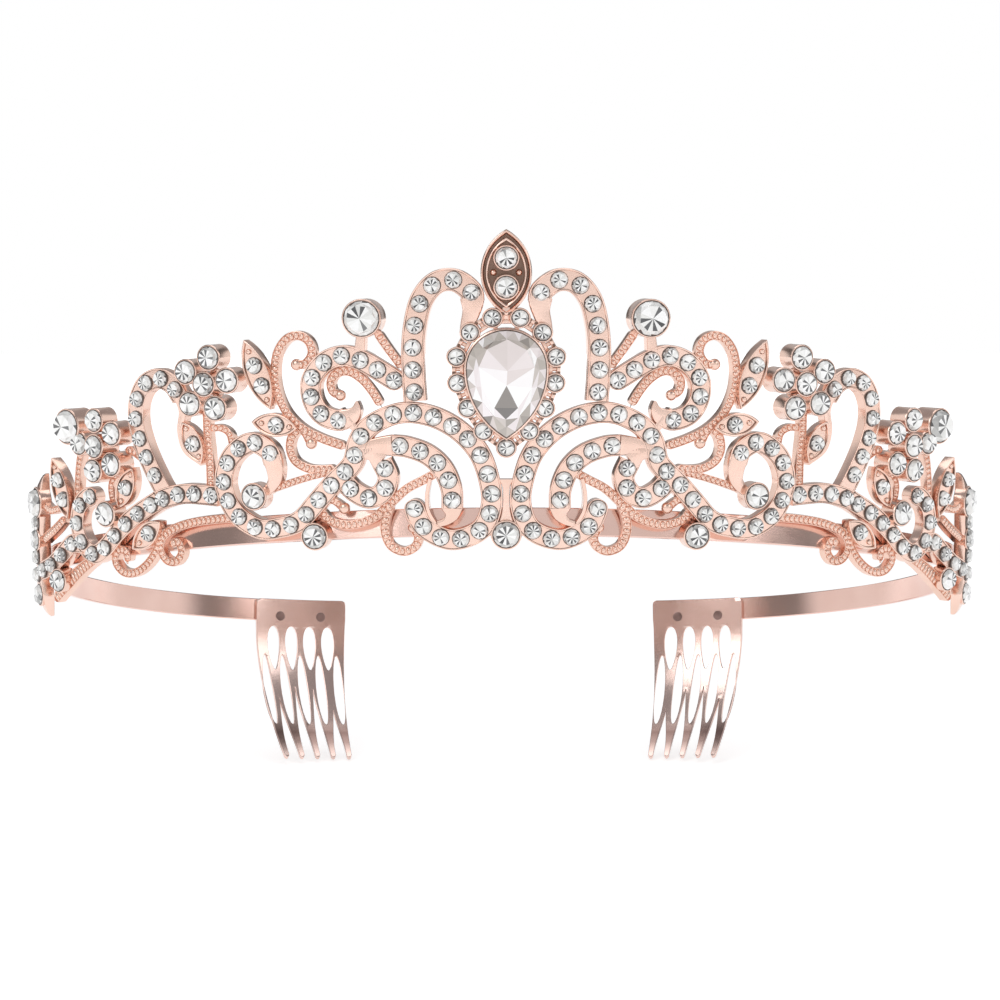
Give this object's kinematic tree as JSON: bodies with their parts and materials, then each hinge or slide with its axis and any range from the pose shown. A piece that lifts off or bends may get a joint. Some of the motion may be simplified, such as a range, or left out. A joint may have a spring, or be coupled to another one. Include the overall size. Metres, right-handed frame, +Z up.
{
  "type": "bridal tiara",
  "caption": "Open rose-gold hoop with a tall scrollwork front panel set with round stones, a pear stone in the middle and a hair comb on each rear end.",
  "frame": {"origin": "under the middle of the whole piece, level with the tips of the comb teeth", "axes": "+X to the wearer's side, -Y out of the wearer's forehead, +Z up"},
  "size_m": [0.1412, 0.1026, 0.09],
  "materials": {
    "rose_gold": "polished",
    "comb_metal": "satin",
    "stones": "faceted"
  },
  "bodies": {
    "root": {"headband": "rose_gold", "comb_left": "comb_metal", "comb_right": "comb_metal", "comb_spot_welds": "comb_metal", "pear_cup": "rose_gold", "pear_stone": "stones", "halo_frame": "rose_gold", "halo_stones": "stones", "finial_frame": "rose_gold", "finial_beads": "rose_gold", "finial_stones": "stones", "centre_stem": "rose_gold", "arch_left": "rose_gold", "arch_right": "rose_gold", "arch_stones": "stones", "main_scroll_left": "rose_gold", "main_scroll_right": "rose_gold", "main_scroll_stones": "stones", "inner_scroll_left": "rose_gold", "inner_scroll_right": "rose_gold", "inner_scroll_stones": "stones", "comma_scroll_left": "rose_gold", "comma_scroll_right": "rose_gold", "comma_scroll_stones": "stones", "ball_cup_left": "rose_gold", "ball_cup_right": "rose_gold", "ball_stones": "stones", "vine_left": "rose_gold", "vine_right": "rose_gold", "lower_vine_left": "rose_gold", "lower_vine_right": "rose_gold", "leaf_spray_left": "rose_gold", "leaf_spray_right": "rose_gold", "leaf_stones": "stones", "flower_left": "rose_gold", "flower_right": "rose_gold", "flower_stones": "stones", "heart_loop_left": "rose_gold", "heart_loop_right": "rose_gold", "heart_loop_stones": "stones", "side_scroll_left": "rose_gold", "side_scroll_right": "rose_gold", "side_scroll_stones": "stones", "side_sprig_left": "rose_gold", "side_sprig_right": "rose_gold", "side_sprig_stones": "stones", "end_motif_left": "rose_gold", "end_motif_right": "rose_gold", "end_motif_stones": "stones"}
  },
  "joints": []
}
